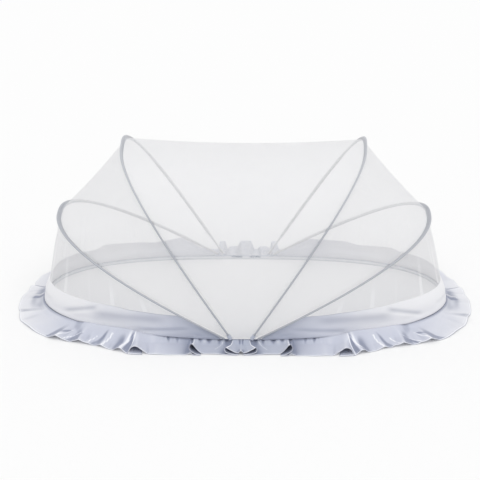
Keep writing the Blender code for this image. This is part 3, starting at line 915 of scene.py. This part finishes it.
# %% Base tape
TAPE_COLUMNS = 480


def base_tape():
    half = TAPE_THICKNESS / 2
    edge = 0.0008
    section = (
        (-half + edge, 0.0),
        (half - edge, 0.0),
        (half, edge),
        (half, TAPE_HEIGHT - edge),
        (half - edge, TAPE_HEIGHT),
        (-half + edge, TAPE_HEIGHT),
        (-half, TAPE_HEIGHT - edge),
        (-half, edge),
    )

    def place(share_along, share_around):
        outward, height = section[round(share_around * len(section)) % len(section)]
        return on_oval(OVAL_LENGTH * (share_along % 1.0), outward, height)

    piece, *_ = laid_sheet("sewn_base_tape", TAPE_COLUMNS, len(section), place)
    ring = bmesh.new()
    ring.from_mesh(piece.data)
    bmesh.ops.recalc_face_normals(ring, faces=ring.faces)
    ring.to_mesh(piece.data)
    ring.free()
    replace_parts(dressed(piece, base_tape_look), "base_tape")


base_tape()

# %% [markdown]
# The skirt is one long strip, gathered at the seam, that lies outward on the floor. In front it doubles over itself
# in pleats. Their hem is followed like a drawn line: each row says where a point of the strip is sewn, where it lies
# at the hem, how far out, how high, and how much it lies in shade. Between the rows the hem runs in an even curve.

# %% The pleats in front
PLEAT_COLUMNS = ("seam", "hem", "reach", "height", "layer", "shade")
PLEAT_ROWS = (
    (0.000, 0.000, 0.0700, 0.0050, 0.0016, -0.10),
    (0.003, 0.006, 0.0695, 0.0050, 0.0016, 0.15),
    (0.009, 0.014, 0.0690, 0.0070, 0.0016, 0.15),
    (0.013, 0.022, 0.0670, 0.0105, 0.0016, 0.00),
    (0.018, 0.031, 0.0655, 0.0150, 0.0016, -0.05),
    (0.020, 0.036, 0.0630, 0.0175, 0.0016, -0.40),
    (0.021, 0.039, 0.0640, 0.0130, 0.0014, 0.50),
    (0.019, 0.037, 0.0670, 0.0065, 0.0012, 0.80),
    (0.015, 0.028, 0.0690, 0.0030, 0.0010, 0.90),
    (0.010, 0.015, 0.0710, 0.0020, 0.0009, 0.80),
    (0.008, 0.005, 0.0720, 0.0016, 0.0008, 0.70),
    (0.012, 0.015, 0.0730, 0.0010, 0.0008, 0.60),
    (0.020, 0.029, 0.0720, 0.0009, 0.0008, 0.85),
    (0.030, 0.044, 0.0705, 0.0012, 0.0008, 0.80),
    (0.048, 0.059, 0.0700, 0.0024, 0.0008, 0.20),
    (0.069, 0.076, 0.0700, 0.0020, 0.0008, -0.08),
    (0.090, 0.089, 0.0710, 0.0022, 0.0008, -0.12),
    (0.103, 0.097, 0.0705, 0.0060, 0.0008, -0.15),
    (0.112, 0.105, 0.0690, 0.0140, 0.0008, -0.15),
    (0.117, 0.112, 0.0670, 0.0220, 0.0008, -0.15),
    (0.120, 0.117, 0.0655, 0.0250, 0.0008, -0.50),
    (0.121, 0.121, 0.0675, 0.0215, 0.0008, 0.30),
    (0.121, 0.122, 0.0700, 0.0140, 0.0007, 0.60),
    (0.119, 0.117, 0.0735, 0.0080, 0.0006, 0.60),
    (0.117, 0.110, 0.0755, 0.0045, 0.0005, 0.70),
    (0.114, 0.102, 0.0775, 0.0017, 0.0004, 0.80),
    (0.111, 0.093, 0.0780, 0.0014, 0.0004, 0.80),
    (0.114, 0.102, 0.0800, 0.0007, 0.0000, 0.80),
    (0.120, 0.111, 0.0800, 0.0009, 0.0000, 0.75),
    (0.127, 0.118, 0.0775, 0.0045, 0.0000, 0.45),
    (0.138, 0.129, 0.0805, 0.0012, 0.0000, 0.60),
    (0.158, 0.147, 0.0820, 0.0007, 0.0000, 0.30),
    (0.184, 0.172, 0.0870, 0.0007, 0.0000, 0.12),
    (0.213, 0.197, 0.0905, 0.0018, 0.0000, -0.20),
    (0.236, 0.213, 0.0920, 0.0007, 0.0000, 0.08),
    (0.249, 0.223, 0.0920, 0.0065, 0.0000, 0.10),
    (0.258, 0.233, 0.0915, 0.0130, 0.0000, 0.10),
    (0.266, 0.241, 0.0910, 0.0175, 0.0000, -0.10),
    (0.270, 0.248, 0.0925, 0.0175, 0.0000, -0.10),
    (0.272, 0.254, 0.0950, 0.0135, 0.0000, -0.70),
    (0.273, 0.257, 0.0990, 0.0075, 0.0000, -1.00),
    (0.273, 0.259, 0.1030, 0.0018, 0.0000, -1.00),
    (0.269, 0.247, 0.1020, 0.0016, 0.0000, 0.40),
    (0.259, 0.226, 0.0990, 0.0015, 0.0000, 0.50),
    (0.267, 0.244, 0.1015, 0.0007, 0.0000, 0.90),
    (0.275, 0.260, 0.1025, 0.0007, 0.0000, 1.00),
    (0.278, 0.270, 0.0990, 0.0040, 0.0000, 0.85),
    (0.281, 0.279, 0.0970, 0.0100, 0.0000, -0.85),
    (0.288, 0.286, 0.0965, 0.0095, 0.0000, 0.30),
    (0.296, 0.292, 0.0960, 0.0050, 0.0000, 0.60),
    (0.306, 0.298, 0.0950, 0.0015, 0.0000, 0.40),
    (0.324, 0.310, 0.0930, 0.0007, 0.0000, 0.10),
)
PLEAT_STEP = 0.0024
LIES_AT = 0.0007


def curve_through(rows, step):
    """Closely spaced rows on a smooth curve through rows."""
    rows = np.array(rows)
    rows = np.vstack([rows[1] * (-1, -1, 1, 1, 1, 1), rows, rows[-1] * 2 - rows[-2]])
    found = [rows[1]]
    for before, start, end, after in zip(rows, rows[1:], rows[2:], rows[3:]):
        count = max(2, math.ceil(np.linalg.norm(end[1:4] - start[1:4]) / step))
        for share in np.linspace(0, 1, count + 1)[1:]:
            bent = (2 * before - 5 * start + 4 * end - after) * share**2
            bent = bent + (3 * start - before - 3 * end + after) * share**3
            found.append((2 * start + (end - before) * share + bent) / 2)
    found = np.array(found)
    found[:, 3] = np.maximum(found[:, 3], LIES_AT)
    return found


# %% [markdown]
# Past the pleats the skirt runs on round the ends and the rear as a plain strip with folds that stand up from the
# floor. A fold rises gently on the side of the middle and falls steeply on the other.

# %% The rest of the skirt
HEM_ROWS = (
    (0.31, 0.093, 0.093),
    (0.34, 0.088, 0.088),
    (0.36, 0.090, 0.089),
    (0.39, 0.094, 0.094),
    (0.42, 0.101, 0.099),
    (0.45, 0.108, 0.108),
    (0.48, 0.106, 0.109),
    (0.55, 0.097, 0.096),
    (0.60, 0.078, 0.080),
    (0.66, 0.067, 0.068),
    (0.72, 0.056, 0.062),
    (0.735, 0.052, 0.060),
    (0.76, 0.059, 0.060),
    (0.80, 0.062, 0.060),
    (0.86, 0.079, 0.078),
    (0.98, 0.082, 0.082),
    (1.38, 0.082, 0.082),
)
HEM_COLUMN = {-1: 1, 1: 2}
SKIRT_STEP = 0.0030
FOLD_COLUMNS = ("left", "right", "away", "inner_width", "outer_width", "height", "starts", "ends", "slope")
FOLD_ROWS = (
    (0.000, None, 0.000, 0.008, 0.008, 0.0070, 0.50, 9.0, 1.0),
    (0.330, 0.338, 0.012, 0.022, 0.014, 0.0060, 0.00, 9.0, 1.0),
    (0.360, 0.362, 0.030, 0.012, 0.010, 0.0034, 0.20, 9.0, 1.0),
    (0.383, 0.383, 0.034, 0.026, 0.022, 0.0105, 0.00, 9.0, 1.0),
    (0.414, 0.422, 0.030, 0.010, 0.010, 0.0030, 0.10, 9.0, 1.0),
    (0.437, 0.445, 0.024, 0.024, 0.024, 0.0120, 0.00, 9.0, 1.0),
    (0.520, 0.520, 0.010, 0.040, 0.040, 0.0034, 0.20, 9.0, 1.0),
    (0.582, 0.582, -0.004, 0.026, 0.026, 0.0060, 0.00, 9.0, 1.0),
    (0.668, 0.682, 0.000, 0.006, 0.006, 0.0080, 0.00, 0.42, 1.0),
    (0.650, 0.655, 0.000, 0.030, 0.030, 0.0030, 0.30, 9.0, 1.0),
    (0.722, 0.735, 0.000, 0.024, 0.014, 0.0080, 0.00, 9.0, 1.0),
    (0.790, 0.785, 0.005, 0.030, 0.030, 0.0036, 0.10, 9.0, 1.0),
    (0.865, 0.872, 0.010, 0.030, 0.030, 0.0048, 0.00, 9.0, 1.0),
    (0.950, 0.945, 0.010, 0.028, 0.028, 0.0044, 0.10, 9.0, 1.0),
    (1.030, 1.036, 0.010, 0.026, 0.026, 0.0060, 0.00, 9.0, 1.0),
    (1.110, 1.105, 0.010, 0.024, 0.024, 0.0060, 0.10, 9.0, 1.0),
    (1.190, 1.195, 0.005, 0.022, 0.022, 0.0080, 0.00, 9.0, 1.0),
    (1.250, 1.252, 0.000, 0.018, 0.018, 0.0060, 0.10, 9.0, 1.0),
    (1.304, 1.304, 0.000, 0.014, 0.014, 0.0260, 0.00, 9.0, 0.45),
    (1.336, 1.336, 0.000, 0.018, 0.018, 0.0090, 0.00, 9.0, 0.40),
    (1.373, None, 0.000, 0.026, 0.026, 0.0270, 0.00, 9.0, 0.35),
)
FOLD_WIDTH_AT_SEAM = 0.45
FOLD_SHARPNESS = 1.12


def placed(rows, columns):
    """The rows of a table as dictionaries, one for each side, with their signed distance from the middle."""
    found = []
    for row in rows:
        values = dict(zip(columns, row))
        for side in (-1, 1):
            if values[side_name(side)] is not None:
                found.append(dict(values, side=side, at=side * values[side_name(side)]))
    return found


def skirt_stations():
    """Rows like the pleats', once round from the rear, with the side that each is on."""
    pleats = curve_through(PLEAT_ROWS, PLEAT_STEP)
    last = pleats[-1]
    rest = []
    for along in np.linspace(last[0], HALF_ROUND, round((HALF_ROUND - last[0]) / SKIRT_STEP))[1:]:
        hem = along - (last[0] - last[1]) * (1 - smooth((along - last[0]) / 0.1))
        rest.append((along, hem, None, LIES_AT, 0.0, 0.0))
    half = [tuple(row) for row in pleats] + rest
    return [(-1, row) for row in half[::-1]] + [(1, row) for row in half[1:]]


FOLDS = placed(FOLD_ROWS, FOLD_COLUMNS)
STATIONS = skirt_stations()
print(len(STATIONS), "stations round the skirt and", len(FOLDS), "folds")


def fold_rise(along, out):
    """How high the standing folds carry a point of the skirt."""
    rise = 0.0
    for fold in FOLDS:
        middle = fold["at"] + fold["side"] * fold["away"] * (1 - out)
        past = apart(along, middle) * fold["side"]
        width = fold["outer_width"] if past > 0 else fold["inner_width"]
        width *= FOLD_WIDTH_AT_SEAM + (1 - FOLD_WIDTH_AT_SEAM) * out
        grown = smooth((out - fold["starts"]) / (1 - fold["starts"])) * (1 - smooth((out - fold["ends"]) / 0.2))
        if fold["ends"] < 1:
            grown = smooth(out / 0.1) * (1 - smooth((out - fold["ends"]) / 0.15))
        near = min(max((1.0 - abs(past) / width) / fold["slope"], 0.0), 1.0)
        rise += fold["height"] * grown * near**FOLD_SHARPNESS
    return rise


# %% [markdown]
# Each station is drawn from its seam to its hem. Light catches the ridges and the hem's turned edge, and the sides
# of the folds that face away from the middle are in shade, and this light and shade is painted: the cloth keeps a
# number for it at each corner. Soft hollows and sharp creases are two small tables of painted shade and highlight:
# a hollow is a round patch, a crease a line that may widen.

# %% Gathered skirt
SKIRT_CELLS = 22
FOLD_CLIMB = 1.2
HOLLOW_COLUMNS = ("left", "right", "out", "half_width", "half_reach", "shade")
HOLLOW_ROWS = (
    (0.700, 0.712, 0.24, 0.040, 0.22, 0.72),
    (0.630, 0.640, 0.10, 0.060, 0.16, 0.42),
    (0.650, 0.664, 0.46, 0.050, 0.14, 0.50),
    (0.612, 0.624, 0.26, 0.020, 0.14, 0.30),
    (0.674, 0.688, 0.26, 0.005, 0.16, -1.80),
    (0.664, 0.678, 0.24, 0.004, 0.20, 1.20),
    (0.446, 0.458, 0.70, 0.016, 0.30, 0.35),
    (0.398, 0.402, 0.75, 0.012, 0.25, 0.35),
    (0.590, 0.600, 0.80, 0.014, 0.20, 0.25),
    (0.560, 0.566, 0.60, 0.010, 0.30, 0.20),
    (0.001, None, 0.12, 0.0035, 0.06, 0.45),
)
LINE_COLUMNS = ("left", "left_end", "right", "right_end", "from_out", "to_out", "half_width", "half_width_end", "tone")
LINE_ROWS = (
    (0.2745, 0.2700, 0.2745, 0.2750, 0.06, 1.00, 0.0040, 0.0150, -1.3),
    (0.2725, 0.2587, 0.2732, 0.2633, 0.00, 1.00, 0.0028, 0.0028, 2.6),
    (0.2728, 0.2854, 0.2754, 0.2906, 0.20, 0.86, 0.0030, 0.0030, 1.4),
    (0.3421, 0.3550, 0.3456, 0.3563, 0.20, 1.00, 0.0060, 0.0100, -0.7),
    (0.3276, 0.3290, 0.3343, 0.3374, 0.30, 1.00, 0.0030, 0.0030, 1.2),
    (0.3633, 0.3684, 0.3720, 0.3780, 0.48, 1.00, 0.0030, 0.0030, 1.0),
    (0.3999, 0.4134, 0.4084, 0.4199, 0.50, 0.95, 0.0060, 0.0080, -0.8),
    (0.4079, 0.4251, 0.4072, 0.4280, 0.44, 0.93, 0.0030, 0.0030, 1.2),
    (0.4366, 0.4630, 0.4479, 0.4807, 0.40, 1.00, 0.0080, 0.0120, -0.8),
    (0.4344, 0.4396, 0.4430, 0.4481, 0.35, 0.95, 0.0030, 0.0030, 1.2),
    (0.0434, 0.0629, 0.0434, 0.0629, 0.06, 0.60, 0.0030, 0.0030, 0.7),
    (0.1310, 0.1300, 0.1310, 0.1300, 0.00, 0.40, 0.0035, 0.0035, -1.0),
)
RIDGE_LIGHT, VALLEY_SHADE, AWAY_SHADE = 0.9, 1.0, 1.9
QUIET_FROM = 1.24
GATHER_SHADE, WALL_LIGHT = 250.0, 0.26


def skirt_point(side, row, out):
    seam_along, hem_along, reach, height, layer, _ = row
    along = side * (seam_along + (hem_along - seam_along) * out)
    if reach is None:
        reach = from_rows(HEM_ROWS, HEM_COLUMN[side], abs(along))
    start = SEAM_OUTWARD if seam(seam_along, "gap") > 0 else SEAM_OUTWARD - 0.0004
    outward = start + (reach - start) * out
    top = seam(seam_along, "height") - gathered(seam_along) + layer
    down = smooth((outward - start) / seam(seam_along, "drop"))
    fall = (1 - down) * (1 - down / 3)
    risen = (height - LIES_AT) * out**FOLD_CLIMB
    return on_oval(along, outward, LIES_AT + (top - LIES_AT) * fall + risen + fold_rise(along, out))


def line_tone(along, out):
    """What the sharp creases add at a point of the skirt: light on the crease, shade beside it."""
    word = side_name(1 if along > 0 else -1)
    found = 0.0
    for row in LINE_ROWS:
        line = dict(zip(LINE_COLUMNS, row))
        share = (out - line["from_out"]) / (line["to_out"] - line["from_out"])
        if -0.05 <= share <= 1.05:
            middle = line[word] + (line[word + "_end"] - line[word]) * share
            half_width = line["half_width"] + (line["half_width_end"] - line["half_width"]) * share
            found += line["tone"] * hump((abs(along) - middle) / half_width)
    return found


def skirt_tone(points):
    away = []
    for side, row in STATIONS:
        ends = [on_oval(side * (row[0] + step)) for step in (-TANGENT_STEP, TANGENT_STEP)]
        away.append((ends[1] - ends[0]).normalized())
    bend, facing = turned(points, np.array(away))
    tones = RIDGE_LIGHT * np.clip(bend, 0, 1) - VALLEY_SHADE * np.clip(-bend, 0, 1)
    tones -= AWAY_SHADE * np.clip(facing, 0, 1)
    hollows = placed(HOLLOW_ROWS, HOLLOW_COLUMNS)
    for column, (side, row) in enumerate(STATIONS):
        tones[column] -= row[5]
        hidden = smooth(-seam(row[0], "gap") / 0.001)
        for cell in range(points.shape[1]):
            down = cell / SKIRT_CELLS
            tones[column, cell] *= 1 - 0.8 * hidden * (1 - smooth(down / 0.4))
            tones[column, cell] += WALL_LIGHT * hidden * (1 - smooth(down / 0.55))
            near_seam = hump(cell / 2)
            # Painted shade along the seam and in the gathers.
            tones[column, cell] -= (seam(row[0], "shade") + GATHER_SHADE * gathered(row[0])) * near_seam
            sharp = line_tone(side * (row[0] + (row[1] - row[0]) * down), down)
            tones[column, cell] += sharp * (1 - hidden * (1 - smooth(down / 0.3)))
            for hollow in hollows:
                if abs(side * row[0] - hollow["at"]) < 3 * hollow["half_width"]:
                    near = ((side * row[0] - hollow["at"]) / hollow["half_width"]) ** 2
                    near += ((down - hollow["out"]) / hollow["half_reach"]) ** 2
                    tones[column, cell] -= hollow["shade"] * math.exp(-near)
        tones[column] *= 1 - 0.4 * smooth((row[0] - 0.74) / 0.06)
        # Behind, painted shade darkens all of the skirt, and its painted light and shade are held small.
        if row[0] > QUIET_FROM:
            tones[column] = np.clip(tones[column], -0.5, 0.1) - 0.25
    return np.clip(tones, -1, 1)


def skirt():
    columns = len(STATIONS) - 1

    def place(share_along, out):
        side, row = STATIONS[round(share_along * columns)]
        return skirt_point(side, row, out)

    piece, along, across = laid_sheet("floor_skirt", columns, SKIRT_CELLS, place, skirt_tone)
    thicken(piece, CLOTH_THICKNESS)
    look = cloth_finish("skirt_cloth", 0.42, 0.66, hem_at=across)
    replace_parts(dressed(piece, look), "skirt")
    return piece


print(skirt().name)

# %% [markdown]
# A small sleeve of pale tape holds each foot of the tall ribs. It is a U of tape round the binding's outer edge.

# %% Rib pockets
POCKET_WALL, POCKET_GAP, POCKET_INWARD, POCKET_LENGTH = 0.0012, 0.0005, 0.0005, 0.014


def pocket_section():
    inner = -POCKET_INWARD
    reach = FIN_OUT + 0.0002 + POCKET_GAP
    spread = WIRE_ROUND + POCKET_GAP
    round_off = 0.0008
    outer = spread + POCKET_WALL
    return (
        (inner, -spread),
        (inner, -outer),
        (reach + POCKET_WALL - round_off, -outer),
        (reach + POCKET_WALL, -outer + round_off),
        (reach + POCKET_WALL, outer - round_off),
        (reach + POCKET_WALL - round_off, outer),
        (inner, outer),
        (inner, spread),
        (reach, spread),
        (reach, -spread),
    )


def pockets(side):
    stations = arch(RIBS["tall"], side, RIB_FOOT_HEIGHT, 800)
    whole = sum((b[0] - a[0]).length for a, b in zip(stations, stations[1:]))
    last = round(POCKET_LENGTH / whole * len(stations))
    for place, part in (("front", stations[: last + 1]), ("rear", stations[-last - 1 :])):
        sleeve = carried(f"sleeve_{place}_{side_name(side)}", part, pocket_section())
        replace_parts(dressed(sleeve, pocket_look), f"pocket_{place}_{side_name(side)}")


for side in (-1, 1):
    pockets(side)

# %% [markdown]
# The net stands on a plain pale floor under an even white sky, as in a studio, with one broad soft lamp above and
# behind it that lays a faint shadow in front of the hem.

# %% Floor and light
SKY_WHITE = 0.82
LAMP_STRENGTH = 1.0
LAMP_SOFTNESS = math.radians(60)
LAMP_TURN = (math.radians(24), math.radians(5), 0.0)
FLOOR_WHITE, FLOOR_GLOW = 0.81, 0.085


def floor():
    ground = bmesh.new()
    bmesh.ops.create_grid(ground, x_segments=1, y_segments=1, size=30.0)
    mesh = bpy.data.meshes.new("floor")
    ground.to_mesh(mesh)
    ground.free()
    piece = bpy.data.objects.new("floor", mesh)
    bpy.context.scene.collection.objects.link(piece)
    look = Finish("studio_floor", roughness=0.9, specular_ior_level=0.0)
    look.shader.inputs["Base Color"].default_value = (FLOOR_WHITE, FLOOR_WHITE, FLOOR_WHITE, 1.0)
    look.shader.inputs["Emission Color"].default_value = (1.0, 1.0, 1.0, 1.0)
    look.shader.inputs["Emission Strength"].default_value = FLOOR_GLOW
    mesh.materials.append(look.material)


def lights():
    sky = bpy.data.worlds.new("white_sky")
    sky.use_nodes = True
    sky.node_tree.nodes["Background"].inputs["Color"].default_value = (SKY_WHITE, SKY_WHITE, SKY_WHITE, 1.0)
    bpy.context.scene.world = sky
    lamp = bpy.data.lights.new("soft_lamp", "SUN")
    lamp.energy = LAMP_STRENGTH
    lamp.angle = LAMP_SOFTNESS
    holder = bpy.data.objects.new("soft_lamp", lamp)
    holder.rotation_euler = LAMP_TURN
    bpy.context.scene.collection.objects.link(holder)


floor()
lights()
bpy.context.scene.view_settings.view_transform = "Standard"
